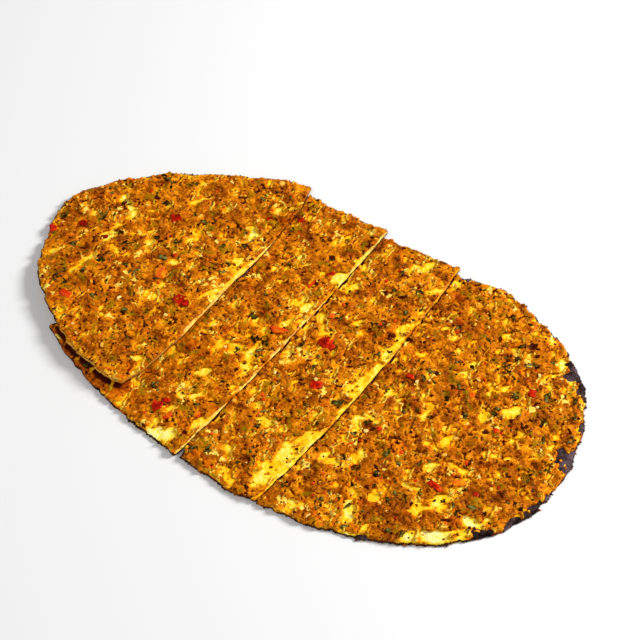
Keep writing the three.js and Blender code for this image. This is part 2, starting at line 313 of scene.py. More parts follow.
def spread(coarse, shape):
    """A coarse grid with gaps filled from their neighbours, evened out and brought to full size."""
    done = ~np.isnan(coarse)
    full = np.where(done, coarse, 0)
    while not done.all():
        heights, known = box_sum(np.where(done, full, 0)), box_sum(done.astype(float))
        fresh = ~done & (known > 0)
        full[fresh] = heights[fresh] / known[fresh]
        done |= fresh
    full = blurred(full, 2)
    r = np.arange(shape[0]) / READ_EVERY
    c = np.arange(shape[1]) / READ_EVERY
    r0 = np.minimum(r.astype(int), full.shape[0] - 2)
    c0 = np.minimum(c.astype(int), full.shape[1] - 2)
    fr, fc = (r - r0)[:, None], (c - c0)[None]
    low = full[r0][:, c0] * (1 - fc) + full[r0][:, c0 + 1] * fc
    high = full[r0 + 1][:, c0] * (1 - fc) + full[r0 + 1][:, c0 + 1] * fc
    return low * (1 - fr) + high * fr


def box_sum(values):
    """The sum of each value and its eight neighbours."""
    padded = np.pad(values, 1, mode="constant")
    return sum(padded[r:r + values.shape[0], c:c + values.shape[1]] for r in range(3) for c in range(3))


def blurred(values, times):
    """The values averaged with their neighbours, as many times."""
    for _ in range(times):
        values = box_sum(values) / box_sum(np.ones_like(values))
    return values


def linear(red, green, blue):
    """A colour seen as 0 to 255 on a screen, as the light that gives it."""
    parts = [v / 255 for v in (red, green, blue)]
    return tuple(v / 12.92 if v <= 0.04045 else ((v + 0.055) / 1.055) ** 2.4 for v in parts) + (1.0,)


# Fat and oven browning tint the faint gloss of all the food
WARM_GLOSS = (1.0, 0.62, 0.2, 1)
CLEAR_GLOSS = (1.0, 1.0, 1.0, 1)


def new_material(name, roughness, gloss, tint=WARM_GLOSS):
    material = bpy.data.materials.new(name)
    material.use_nodes = True
    shader = material.node_tree.nodes["Principled BSDF"]
    shader.inputs["Roughness"].default_value = roughness
    shader.inputs["Specular IOR Level"].default_value = gloss
    shader.inputs["Specular Tint"].default_value = tint
    return material, material.node_tree, shader


def new_node(tree, kind, inputs, **settings):
    """A node whose inputs are set to values or linked to other nodes."""
    node = tree.nodes.new(kind)
    for label, value in settings.items():
        setattr(node, label, value)
    for label, value in inputs.items():
        if isinstance(value, bpy.types.NodeSocket):
            tree.links.new(value, node.inputs[label])
        else:
            node.inputs[label].default_value = value
    return node


def ramp(tree, factor, stops):
    """Colours seen on a screen, one for each place from 0 to 1 of the factor."""
    node = new_node(tree, "ShaderNodeValToRGB", {"Fac": factor})
    elements = node.color_ramp.elements
    while len(elements) < len(stops):
        elements.new(0.5)
    for element, (place, colour) in zip(elements, stops):
        element.position = place
        element.color = linear(*colour)
    return node.outputs["Color"]


def steps(tree, factor, low, high):
    """0 below low and 1 above high."""
    inputs = {"Value": factor, "From Min": low, "From Max": high}
    node = new_node(tree, "ShaderNodeMapRange", inputs, interpolation_type="SMOOTHSTEP")
    return node.outputs["Result"]


def attribute(tree, label):
    """The number that store_shade stored under this label."""
    return new_node(tree, "ShaderNodeAttribute", {}, attribute_name=label).outputs["Fac"]


def noise(tree, size, detail=2.0, roughness=0.5):
    """Cloudy noise with patches about size millimetres wide."""
    place = new_node(tree, "ShaderNodeTexCoord", {}).outputs["Object"]
    inputs = {"Vector": place, "Scale": 500 / size, "Detail": detail, "Roughness": roughness}
    return new_node(tree, "ShaderNodeTexNoise", inputs).outputs["Fac"]


def math_node(tree, operation, first, second):
    inputs = {0: first, 1: second}
    return new_node(tree, "ShaderNodeMath", inputs, operation=operation).outputs["Value"]


def mix(tree, factor, first, second):
    """The first colour where factor is 0 and the second where it is 1."""
    node = new_node(tree, "ShaderNodeMix", {"Factor": factor}, data_type="RGBA")
    colours_in = [socket for socket in node.inputs if socket.type == "RGBA"]
    colour_out = [socket for socket in node.outputs if socket.type == "RGBA"][0]
    for socket, value in zip(colours_in, (first, second)):
        if isinstance(value, tuple):
            socket.default_value = linear(*value)
        else:
            tree.links.new(value, socket)
    return colour_out


def bump(tree, shader, height, depth):
    """Relief too fine for the mesh, depth millimetres deep."""
    inputs = {"Height": height, "Distance": depth / 1000, "Strength": 1.0}
    node = new_node(tree, "ShaderNodeBump", inputs)
    tree.links.new(node.outputs["Normal"], shader.inputs["Normal"])


def grow(tree, value, factor, middle=0.5):
    """The swing of value about its middle, made factor times as wide."""
    return math_node(tree, "MULTIPLY", math_node(tree, "SUBTRACT", value, middle), factor)


def total(tree, first, *others):
    """The sum of all the values."""
    for other in others:
        first = math_node(tree, "ADD", first, other)
    return first


# Golden and pale blotches, darker where fat has soaked in, then brown scorch; flour and scorch
# spots below; the inside at the cuts, with painted shade at their foot for the shadow in the gaps
# between slices; and last the char, ash-grey where deep
dough_finish, tree, shader = new_material("baked_dough", 0.5, 0.1)
cloud = noise(tree, 4.0, 4, 0.62)
fine = noise(tree, 1.3, 3, 0.6)
stain = grow(tree, attribute(tree, "stain"), -0.4, 0.16)
blotch = total(tree, grow(tree, cloud, 1.15, 0.08), grow(tree, fine, 0.6), stain)
face = ramp(tree, blotch, [
    (0.16, (204, 106, 2)), (0.28, (242, 154, 8)), (0.4, (255, 192, 16)), (0.52, (255, 214, 38)),
    (0.66, (255, 231, 80)), (0.84, (255, 245, 155)),
])
face = mix(tree, steps(tree, fine, 0.34, 0.28), face, (168, 84, 6))
scorch = total(tree, attribute(tree, "brown"), grow(tree, fine, 1.0))
face = mix(tree, steps(tree, scorch, 0.3, 0.8), face, (206, 112, 12))
face = mix(tree, steps(tree, scorch, 0.8, 1.15), face, (120, 54, 6))
floury = ramp(tree, noise(tree, 14, 5, 0.65), [
    (0.3, (206, 160, 96)), (0.5, (232, 204, 150)), (0.72, (246, 232, 200)),
])
spots = total(tree, noise(tree, 7, 3, 0.55), grow(tree, attribute(tree, "brown"), 0.12, 0))
floury = mix(tree, steps(tree, spots, 0.58, 0.7), floury, (150, 88, 36))
floury = mix(tree, steps(tree, spots, 0.68, 0.78), floury, (70, 38, 20))
face = mix(tree, attribute(tree, "under"), face, floury)
inside = ramp(tree, fine, [(0.36, (255, 194, 56)), (0.54, (255, 228, 116))])
face = mix(tree, attribute(tree, "cut"), face, inside)
# Painted shade: orange, then near black, at the foot of each cut wall and along each left-hand cut edge,
# for the shadow in the gaps between slices
face = mix(tree, steps(tree, attribute(tree, "cut_gap_shade"), 0.04, 0.12), face, (206, 116, 22))
face = mix(tree, steps(tree, attribute(tree, "cut_gap_shade"), 0.1, 0.25), face, (48, 14, 1))
burnt = total(tree, attribute(tree, "char"), grow(tree, fine, 0.7))
face = mix(tree, steps(tree, burnt, 0.3, 0.5), face, (78, 30, 4))
ash = ramp(tree, cloud, [(0.38, (16, 7, 6)), (0.48, (46, 32, 36)), (0.64, (92, 74, 84))])
face = mix(tree, steps(tree, burnt, 0.5, 0.75), face, ash)
tree.links.new(face, shader.inputs["Base Color"])
bump(tree, shader, total(tree, fine, cloud), 1.0)


def along_and_across(x, y, middle_x, middle_y, turn):
    """How far each point is from the middle, along the direction of turn and across it."""
    c, s = math.cos(math.radians(turn)), math.sin(math.radians(turn))
    return (x - middle_x) * c + (y - middle_y) * s, -(x - middle_x) * s + (y - middle_y) * c


# Burnt stretches of the rim: middle, reach along and across, in mm, and turn in degrees
BURNT_RIM = [
    (141, 90, 7, 3, 143), (152, 81, 10, 5, 138), (150, 74, 5, 3, 60), (163, 70, 8, 4.5, 130),
    (174, 47, 4, 2.5, 112), (178, 24, 8, 8, 100), (182, 6, 9, 1, 90), (179, -12, 8, 5, 78),
    (173, -29, 5, 4.5, 62), (162, -43, 6, 4, 50), (110, -83, 7, 0.8, 20), (62, 98, 7, 2.2, 10),
    (-176, -34, 12, 1.6, 112), (-120, -86, 20, 1.4, 165),
]


def burnt_share(x, y):
    """How far the burnt stretches of the rim reach each point, 0 to 1."""
    share = np.zeros(x.shape)
    wander = swells(x, y, (0.5, 6, 17), (0.5, 2.5, 19))
    for middle_x, middle_y, half_length, half_width, turn in BURNT_RIM:
        along, across = along_and_across(x, y, middle_x, middle_y, turn)
        away = np.hypot(along / half_length, across / half_width)
        share = np.maximum(share, smoothstep(1.2 - away + wander, 0, 0.35))
    return share


def patch_share(patches, x, y):
    """How far each point is inside the nearest of the patches, up to 1.1."""
    share = np.full(x.shape, -1.0)
    for middle_x, middle_y, length, width, turn in patches:
        along, across = along_and_across(x, y, middle_x, middle_y, turn)
        share = np.maximum(share, 1.1 - np.hypot(along * 2 / length, across * 2 / width))
    return share


def lumps(x, y, size, seed):
    """Loose lumps about size wide: distance to the nearest one's middle, and its own number."""
    u, v = x / size + 60, y / size + 60
    i, j = np.floor(u), np.floor(v)
    nearest = np.full(x.shape, 9.0)
    own = np.zeros(x.shape)
    for di in (-1, 0, 1):
        for dj in (-1, 0, 1):
            a, b = i + di, j + dj
            far = np.hypot(a + chance(a, b, seed) - u, b + chance(a, b, seed + 1) - v)
            own = np.where(far < nearest, chance(a, b, seed + 2), own)
            nearest = np.minimum(nearest, far)
    return nearest, own


# How far the meat's tears are drawn out across each slice
TEAR_STRETCH = {"slice_1": 1.7, "slice_2": 1.7, "slice_3": 1.7, "slice_4": 1.2}
# The share of the meat's lumps that has fallen out
FALLEN_OUT = 0.1
# Patches that the meat leaves bare: middle, length, width in mm and turn in degrees
BARE_PATCHES = {
    "slice_1": [
        (-134, -11, 9, 8, 35), (-66, 49, 10, 8, 35), (-147, 22, 18, 4, -23), (-70, -68, 12, 6, 47),
        (-143, -4, 11, 5, 35), (-66, 73, 14, 4, 81), (-56, 22, 32, 3, 87), (-63, -7, 15, 3, 62),
    ],
    "slice_2": [
        (-34, -50, 12, 5, 47), (-5, 53, 14, 7, 62), (-15, -79, 12, 5, 69), (-29, -98, 22, 16, 35),
        (-8, 23, 16, 6, 80), (-27, 49, 11, 5, 59), (-12, -33, 20, 5, 84), (-1, 72, 10, 4, 82),
        (-35, -71, 9, 6, 35), (-50, -26, 8, 6, 35),
    ],
    "slice_3": [
        (23, 32, 13, 4, 58), (41, -70, 49, 15, 81), (50, 3, 30, 6, 86), (37, 93, 10, 7, 35),
        (51, 26, 20, 5, 88), (41, 72, 14, 4, 80), (17, -56, 11, 8, 35), (5, -14, 10, 5, 60),
        (36, -88, 17, 11, 70), (48, 44, 13, 7, 62), (48, -50, 12, 11, 80), (47, -9, 14, 9, 75),
        (51, -23, 11, 5, 88),
    ],
    "slice_4": [
        (133, 33, 11, 8, 35), (122, 20, 10, 9, 35), (112, -8, 14, 8, 87), (114, -24, 9, 9, 35),
        (148, 5, 7, 5, 35), (135, 0, 10, 4, 125), (141, 79, 12, 6, 125), (123, -52, 11, 5, 46),
        (76, -43, 10, 7, 35), (97, -60, 8, 6, 35), (122, 45, 6, 5, 35), (139, -62, 44, 10, 35),
        (150, -41, 15, 8, -9), (90, -74, 17, 8, 125), (131, -38, 10, 7, 35), (104, -88, 26, 7, 12),
        (109, -43, 17, 4, 11),
    ],
}
# Thick brown lumps of meat: middle, length, width in mm and turn in degrees
BROWN_LUMPS = [
    (116, -64, 22, 26, 35), (101, -67, 11, 22, 35), (131, -54, 16, 9, 35), (66, 79, 12, 17, 35),
    (53, 70, 9, 10, 35), (75, -71, 15, 12, 35), (60, -66, 7, 15, 35), (71, -26, 9, 13, 35),
    (57, -11, 10, 15, 35), (103, -17, 12, 10, 35), (109, 21, 7, 15, 35), (142, -5, 9, 10, 35),
    (152, 39, 10, 10, 35), (29, -52, 12, 10, 35), (21, -81, 9, 10, 35), (-3, -74, 10, 9, 35),
    (-104, -1, 7, 15, 35), (-84, -37, 12, 19, 35), (-76, -18, 9, 7, 35), (-80, 29, 9, 7, 35),
    (-170, -5, 15, 12, 35), (-146, -44, 7, 10, 35), (-44, -78, 12, 10, 35), (-51, -44, 10, 7, 35),
    (26, -28, 9, 9, 35), (81, 70, 11, 9, 35), (72, 16, 18, 10, 35), (-117, 32, 7, 9, 35),
    (-59, 66, 10, 10, 35), (-24, 87, 12, 10, 35), (0, 85, 15, 12, 35), (21, 82, 10, 9, 35),
    (-41, -2, 6, 7, 35), (-100, -61, 10, 7, 35), (162, 6, 12, 12, 35), (158, -21, 15, 7, 35),
    (-122, -19, 7, 12, 35), (-167, -22, 9, 7, 35), (-143, -21, 20, 8, 50), (40, 58, 12, 14, 35),
    (114, -74, 10, 7, 35),
]


def meat_cover(name, x, y, to_rim):
    """How well meat covers the dough: bare below 0, a thin film to 0.3, full above 1."""
    wx = x + swells(x, y, (1.0, 4.1, 71), (0.7, 1.9, 73))
    wy = y / TEAR_STRETCH[name] + swells(x, y, (1.0, 4.1, 75), (0.7, 1.9, 77))
    between = lumps(wx, wy, 7.5, 41)[0] - 0.45
    nooks = lumps(wx, wy, 3.6, 44)[0] - 0.45
    tear = 0.9 * between + 0.85 * nooks + 0.5 * swells(wx, wy, (0.4, 12, 47), (0.45, 5, 43))
    # The middle of the bread is barer; its brown lumps and far left side are better covered
    zone = swells(x, y, (0.06, 45, 47), (0.08, 20, 48))
    zone -= 0.065 * np.exp(-((x - 5) / 55) ** 2 - (y / 75) ** 4)
    zone += 0.22 * smoothstep(patch_share(BROWN_LUMPS, x, y), -0.1, 0.5)
    zone += 0.03 * smoothstep(y, 20, 60) * smoothstep(x, -50, -80)
    cover = 5.0 * (0.29 - tear + zone)
    # Some of the lumps have fallen out and left a hole
    to_hole, own = lumps(wx, wy, 6.2, 46)
    hole = np.where(own > 1 - FALLEN_OUT, 6.0 * (to_hole - 0.34 * own), 9.0)
    cover = np.minimum(cover, hole)
    cover = np.minimum(cover, 4.0 * (0.34 - 1.7 * patch_share(BARE_PATCHES[name], x, y) - 1.6 * tear))
    cover = np.minimum(cover, 0.8 - 2.5 * burnt_share(x, y))
    return np.minimum(cover, (to_rim - 0.6 + 1.0 * swell(x, y, 4, 49)) / 0.9)


def cut_side(line, rim, sideways):
    """The points of the outline along the cut that faces sideways, and one far off if there are none."""
    return np.vstack([line[(rim <= 0.5) & (sideways > 0)], (999, 999)])


def burning(x, y, to_rim):
    """How far the top is charred and the underside seared, both darkest along the rim."""
    burnt = burnt_share(x, y)
    char = np.maximum(burnt, 0.5 * smoothstep(0.3 - to_rim + 1.1 * swell(x, y, 5, 31), 0, 0.8))
    edge = smoothstep(1.35 - to_rim + 0.45 * swell(x, y, 4, 36), 0, 0.8)
    char = np.maximum(char, (0.66 + 0.3 * swell(x, y, 6, 33)) * edge)
    seared = (0.48 + 0.25 * swell(x, y, 12, 37)) * smoothstep(1.2 - to_rim, 0, 0.8)
    return char, np.maximum(0.5 * burnt, seared)


def golden_stretch(x, y):
    """Where slice 1's near rim is raised off the stone, and has baked golden rather than black."""
    return smoothstep(-y, 58, 68) * smoothstep(x, -128, -116)


def covered_ends(y):
    """1 near the two ends of slice 1's right-hand cut, where meat hides the inside, and 0 between."""
    return smoothstep(np.abs(y - 6), 36, 50)


def fat_stain(name, x, y, to_rim, to_right, pale):
    """How far the dough is stained by fat: beside the meat and along the rim, less in bare patches."""
    patch = patch_share(BARE_PATCHES[name], x, y)
    stain = smoothstep(meat_cover(name, x, y, to_rim), -1.6, 0.3)
    beside_rim = smoothstep(3.2 - to_rim, 0, 2.2) * smoothstep(patch, 0.1, -0.3)
    stain = np.maximum(stain, beside_rim) - 0.6 * pale
    return stain * (1 - smoothstep(3.5 - to_right, 0, 1.5) * smoothstep(patch, -0.5, 0))


# How wide the stretch is over which the rim thins to a quarter, and how high its blisters stand
RIM_ROUNDING = 1.6
BLISTER_HEIGHT = 0.35
# How much of the pale inside shows along each slice's right-hand cut
CUT_FACE_SHOWS = {"slice_1": 1, "slice_2": 1, "slice_3": 0.2, "slice_4": 1}
# How pale the dough stays in bare patches beside each slice's rim
RIM_PATCH_PALENESS = {"slice_1": 1, "slice_2": 1, "slice_3": 0.3, "slice_4": 1}
# What the pieces on top need to know of each slice: its outline and, later, its height and cover
SLICES = {}
for name in SLICE_CENTRES:
    line, rim, outward = torn_outline(name)
    x, y = grid_over(line, DOUGH_CELL)
    keep = kept_cells(inside_of(line, x, y))
    snap_to(line, x, y, keep, 1.6 * DOUGH_CELL)
    to_rim = grid_distance(x, y, line[rim > 0.5][::3])
    to_cut = grid_distance(x, y, line[rim <= 0.5][::3])
    to_right = grid_distance(x, y, cut_side(line, rim, outward[:, 0]))
    to_left = grid_distance(x, y, cut_side(line, rim, -outward[:, 0]))
    under = heights_of(f"{name}_dough", x, y, upward=True)
    over = heights_of(f"{name}_dough", x, y, upward=False)
    SLICES[name] = {
        "line": line, "rim": rim, "outward": outward,
        "rim_height": under + 0.5, "rim_corner": line.min(0) - DOUGH_CELL,
    }
    # The rim is rounded off and blistered, and the whole top is a little uneven
    round_off = np.sqrt(1 - (1 - np.clip(to_rim / RIM_ROUNDING, 0, 1)) ** 2)
    thick = (over - under) * (0.25 + 0.75 * round_off)
    blister = BLISTER_HEIGHT * smoothstep(swell(x, y, 7, 23), 0.1, 0.9)
    blister *= smoothstep(to_rim, 1, 3) * smoothstep(9 - to_rim, 0, 4)
    top = under + thick + blister + 0.2 * rough(x, y, 4.5, 25) * round_off
    bottom = np.maximum(under + 0.25 * (1 - round_off), 0)
    # Scorch and char along the rim, and the pale inside at the cuts
    cut = smoothstep(0.9 - to_cut, 0, 0.4)
    brown = smoothstep(3.0 - to_rim + 3.0 * rough(x, y, 9, 27), 0, 5) + 0.25 * (rough(x, y, 5, 29) > 0.5)
    char, seared = burning(x, y, to_rim)
    nowhere = np.zeros_like(x)
    # Painted shade at the foot of each cut wall, for the shadow in the gap between slices
    golden, cut_gap_shade = nowhere, 0.8 * cut
    shows = smoothstep(swells(x, y, (1, 11, 34), (0.6, 4, 35)), -0.5, 0.3) * CUT_FACE_SHOWS[name]
    if name == "slice_1":
        raised = golden_stretch(x, y)
        char *= 1 - 0.9 * raised
        seared *= 1 - 0.9 * raised
        golden = 0.5 * raised * smoothstep(1.4 - to_rim, 0, 0.5)
        cut_gap_shade = 0.26 * cut
        shows = (0.5 + 0.5 * shows) * (1 - 0.85 * covered_ends(y))
        brown = np.maximum(brown, 1.2 * (1 - shows) * cut)
    pale = smoothstep(patch_share(BARE_PATCHES[name], x, y), 0.0, 0.45) * smoothstep(22 - to_rim, 0, 8)
    pale *= RIM_PATCH_PALENESS[name]
    face_of_cut = smoothstep(1.9 - to_right, 0, 0.5) * shows
    dough = slab(f"{name}_bread", x, y, keep, top, bottom, {
        "brown": brown * (1 - 0.9 * pale),
        "char": (char, seared),
        "under": (nowhere, smoothstep(to_rim, 0.5, 1.6) * (1 - cut)),
        "cut": (np.maximum(face_of_cut, golden), np.maximum(cut, golden)),
        # Painted shade along the top of each left-hand cut edge and at the foot of the cut walls
        "cut_gap_shade": (0.35 * smoothstep(0.8 - to_left, 0, 0.4), cut_gap_shade),
        "stain": fat_stain(name, x, y, to_rim, to_right, pale),
    })
    dough.data.materials.append(dough_finish)
    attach(dough, "root")
    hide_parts(f"{name}_dough")

# Meat: raw minced meat worked to a paste with pepper, tomato, onion and leaves, pressed onto the
# dough by hand before baking. It bakes to a thin crumbly layer, brown on its lumps, orange with fat
# where it is thin, and torn open in places where the dough shows through.
MEAT_CELL = 0.7
# How deep the meat lies on average, how deep at most under slice 1, and how far it is pressed into
# the dough
MEAT_DEPTH = 1.15
PRESSED_DEPTH = 1.0
SUNK_DEPTH = 0.5
# Lumps of meat and tomato skin that have burnt black: middle, length, width in mm and turn in degrees
BURNT_LUMPS = [(120, 78, 9, 5, 35), (126, 74, 5, 3, 35), (47, 35, 9, 5, 35), (57, 40, 4, 3, 35)]


def meat_relief(x, y, cover, lee_cover):
    """Depth of the meat over the dough, and the shades that colour it.

    lee_cover is the cover a little way off, which gives each tear a sharp side and a thin one.
    """
    body = smoothstep(cover, -0.05, 0.5)
    wx = x + 0.9 * swell(x, y, 2.7, 51)
    wy = y + 0.9 * swell(x, y, 2.7, 53)
    to_lump, own = lumps(wx, wy, 4.4, 55)
    reach = 0.28 + 0.45 * own
    dome = np.sqrt(np.clip(1 - (to_lump / reach) ** 2, 0, 1)) * smoothstep(own, 0.3, 0.5)
    to_grain, own = lumps(wx, wy, 2.1, 61)
    grain = np.sqrt(np.clip(1 - (to_grain / 0.62) ** 2, 0, 1)) * own
    # Pits: dips in the meat, whose colour is darkened as painted shade
    pit_and_shadow = smoothstep(swell(wx, wy, 1.8, 65) + 0.4 * swell(x, y, 7, 66), 0.55, 0.95)
    ripple = swells(wx, wy, (0.4, 5.5, 68), (0.3, 3.1, 69))
    depth = MEAT_DEPTH + 0.35 * rough(x, y, 15, 67) + 0.95 * dome + 0.5 * grain - 0.7 * pit_and_shadow + ripple
    depth = np.maximum(depth, 0.35) * body
    depth = np.where(cover < 0, np.maximum(cover, -0.6), depth)
    mottle = swells(wx, wy, (0.6, 6.4, 81), (0.8, 3.3, 83), (0.5, 1.7, 85)) - dome
    mottle -= smoothstep(patch_share(BROWN_LUMPS, x, y) + 0.35 * swell(wx, wy, 3, 86), -0.05, 0.35)
    black = smoothstep(patch_share(BURNT_LUMPS, x, y) + 0.35 * swell(x, y, 2.1, 93), 0.0, 0.4)
    lee = np.minimum(cover, lee_cover + 0.2)
    return depth, {
        "mottle": mottle,
        "crest": depth - blurred(depth, 2),
        "pit_and_shadow": np.maximum(pit_and_shadow * body, 0.9 * black),
        "olive": smoothstep(swells(wx, wy, (1, 4.8, 87), (0.5, 2.4, 88)), 0.4, 0.9),
        "oily": smoothstep(swells(wx, wy, (1, 5.3, 91), (0.5, 2.6, 92)), 0.3, 0.9),
        "thin": (1 - smoothstep(lee, 0.0, 0.8)) * (1 - black),
    }


def paint_shadow_beside(shades, to_upper_rim):
    """Paints a shadow on slice 2's meat where slice 1 overhangs it, darkest along slice 1's rim; the
    meat there is also moist and unbroken, without herb stains.
    """
    sheltered = smoothstep(to_upper_rim, 14, 7)
    shades["olive"] *= 1 - sheltered
    shades["oily"] = np.maximum(shades["oily"], sheltered)
    # Painted shadow: near black right beside slice 1's rim, and darker meat for 9 mm out
    shades["pit_and_shadow"] = np.maximum(shades["pit_and_shadow"], 0.9 * smoothstep(to_upper_rim, 3.8, 1.2))
    shades["mottle"] -= 1.1 * smoothstep(to_upper_rim, 9, 4)
    shades["thin"] *= 1 - 0.8 * smoothstep(to_upper_rim, 8, 4)


def meat_line(name, line, rim, outward):
    """The outline of the meat: at the rim that of the dough, at a cut a little back and ragged."""
    x, y = line.T
    along_cut = rim <= 0.5
    right_hand = along_cut & (outward[:, 0] > 0)
    pulled = smoothstep(swells(x, y, (1, 9, 79), (0.5, 3.2, 80)), 0, 0.8)
    covered = covered_ends(y) if name == "slice_1" else 0
    back = 0.3 + right_hand * (0.7 + 1.6 * pulled) * (1 - 0.85 * covered)
    return line - outward * (back * along_cut)[:, None]


def chunks(tree, size, sway):
    """A tone from 0 to 1 for each chunk about size millimetres wide, whose borders wander by sway."""
    place = new_node(tree, "ShaderNodeTexCoord", {}).outputs["Object"]
    inputs = {"Vector": place, "Scale": 1400 / size, "Detail": 3.0}
    wander = new_node(tree, "ShaderNodeTexNoise", inputs)
    inputs = {0: wander.outputs["Color"], 1: [sway / 1000] * 3, 2: place}
    shift = new_node(tree, "ShaderNodeVectorMath", inputs, operation="MULTIPLY_ADD")
    inputs = {"Vector": shift.outputs["Vector"], "Scale": 1000 / size}
    cells = new_node(tree, "ShaderNodeTexVoronoi", inputs)
    parts = new_node(tree, "ShaderNodeSeparateColor", {"Color": cells.outputs["Color"]})
    return parts.outputs["Red"]


# Brown meat with stains of red fat and green herbs; orange where thin, with painted highlights on the
# brims of its tears; yellow flecks of fat; painted light on its crests and painted shade in its crevices
# and pits; dark specks
MIDDLE_TONE = 0.51
meat_finish, tree, shader = new_material("roasted_meat", 0.45, 0.1)
fine = noise(tree, 0.8, 2, 0.6)
middle = noise(tree, 2.2, 2, 0.6)
cloud = noise(tree, 12, 3, 0.6)
speck = total(tree, noise(tree, 1.6, 2, 0.55), grow(tree, cloud, 0.3))
chunk = chunks(tree, 5.5, 5)
bit = chunks(tree, 2.6, 3)
# The tone is lighter on the meat's crests and darker in its hollows: painted light and shade of its
# relief
tone = total(
    tree, MIDDLE_TONE, grow(tree, attribute(tree, "mottle"), 0.1, 0), grow(tree, fine, 0.42),
    grow(tree, middle, 0.25), grow(tree, cloud, 0.1), grow(tree, attribute(tree, "crest"), 0.25, 0),
    grow(tree, chunk, 0.22), grow(tree, bit, 0.18),
)
brown = ramp(tree, tone, [
    (0.16, (84, 28, 0)), (0.28, (126, 56, 1)), (0.4, (164, 82, 3)), (0.5, (192, 104, 5)),
    (0.6, (218, 124, 7)), (0.7, (238, 148, 12)), (0.82, (254, 184, 34)),
])
oily = grow(tree, attribute(tree, "oily"), 0.5, 0)
red_fat = ramp(tree, tone, [(0.3, (170, 60, 0)), (0.5, (222, 98, 2)), (0.7, (250, 140, 8))])
brown = mix(tree, oily, brown, red_fat)
olive = grow(tree, attribute(tree, "olive"), 0.65, 0)
brown = mix(tree, olive, brown, (140, 114, 0))
rich = ramp(tree, tone, [
    (0.3, (206, 104, 2)), (0.45, (236, 138, 6)), (0.6, (252, 174, 16)), (0.75, (255, 206, 44)),
    (0.88, (255, 232, 110)),
])
thin = total(tree, attribute(tree, "thin"), grow(tree, fine, 0.28), grow(tree, middle, 0.55))
face = mix(tree, steps(tree, thin, 0.5, 0.64), brown, rich)
# Painted highlight: pale yellow on the thinnest brims of the tears
brim_highlight = steps(tree, total(tree, cloud, grow(tree, middle, 0.4)), 0.47, 0.57)
brim_highlight = math_node(tree, "MULTIPLY", brim_highlight, steps(tree, thin, 0.66, 0.76))
face = mix(tree, brim_highlight, face, ramp(tree, fine, [(0.36, (255, 196, 36)), (0.56, (255, 228, 92))]))
fleck = total(
    tree, chunks(tree, 3.8, 4), grow(tree, tone, 0.3, 0.55), grow(tree, cloud, 0.9),
    grow(tree, middle, 0.5),
)
fat_yellow = ramp(tree, fine, [(0.3, (252, 186, 30)), (0.6, (255, 230, 104))])
face = mix(tree, steps(tree, fleck, 0.98, 1.03), face, fat_yellow)
# Painted shade: the meat's crevices darkened to red-brown
crevice_shade = grow(tree, steps(tree, attribute(tree, "crest"), -0.06, -0.4), 0.7, 0)
face = mix(tree, crevice_shade, face, (124, 32, 0))
# Painted shade: dark red-brown in the meat's pits and in the painted shadow beside slice 1's rim; also
# the colour of the burnt lumps
face = mix(tree, steps(tree, attribute(tree, "pit_and_shadow"), 0.3, 0.9), face, (66, 8, 0))
face = mix(tree, steps(tree, speck, 0.35, 0.3), face, (56, 4, 0))
face = mix(tree, steps(tree, noise(tree, 1.1, 1, 0.5), 0.31, 0.27), face, (62, 8, 0))
tree.links.new(face, shader.inputs["Base Color"])
bump(tree, shader, total(tree, fine, middle), 0.6)

for name, slice_ in SLICES.items():
    rim = slice_["rim"]
    line = meat_line(name, slice_["line"], rim, slice_["outward"])
    x, y = grid_over(line, MEAT_CELL)
    inside = inside_of(line, x, y)
    to_rim = grid_distance(x, y, slice_["line"][rim > 0.5][::3])
    to_cut = grid_distance(x, y, line[rim <= 0.5][::3])
    over = heights_of(f"{name}_dough", x, y, upward=False)
    cover = meat_cover(name, x, y, to_rim)
    depth, shades = meat_relief(x, y, cover, meat_cover(name, x - 1.3, y - 0.4, to_rim))
    if name == "slice_2":
        # Painted shadow on slice 2's meat beside slice 1's raised rim
        upper_rim = SLICES["slice_1"]["line"][SLICES["slice_1"]["rim"] > 0.5]
        paint_shadow_beside(shades, grid_distance(x, y, upper_rim))
        # Slice 1's right-hand cut leans by 3 in 100, and slice 2's meat is pressed flat left of it
        under_slice_1 = x < -54.5 + 0.03 * (y - 14)
        depth = np.where(under_slice_1, np.minimum(depth, PRESSED_DEPTH), depth)
    keep = kept_cells(inside & (depth > -0.4))
    slice_.update(surface=over + np.maximum(depth, 0), corner=(x[0, 0], y[0, 0]))
    slice_.update(to_rim=to_rim, to_cut=to_cut, inside=inside, cover=cover)
    snap_to(line[rim <= 0.5], x, y, keep, 0.9)
    meat = slab(f"{name}_topping", x, y, keep, over + depth, over - SUNK_DEPTH, shades)
    meat.data.materials.append(meat_finish)
    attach(meat, "root")
    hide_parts(f"{name}_meat")

# Crumbs: loose grains of mince and small burnt bits that lie on the meat and in its bare patches.
# They are the same roasted meat, mostly 1 to 2 mm across.
CRUMB_COUNT = 1800
# The share of all loose bits that falls on each slice
SLICE_SHARES = [0.27, 0.2, 0.18, 0.35]
# The rim of slice 1 where it lies over slice 2: a place on it, and the way across it
UPPER_RIM_PLACE = (-175, -20)
UPPER_RIM_ACROSS = (0.53, -0.848)
UPPER_RIM_END = -52


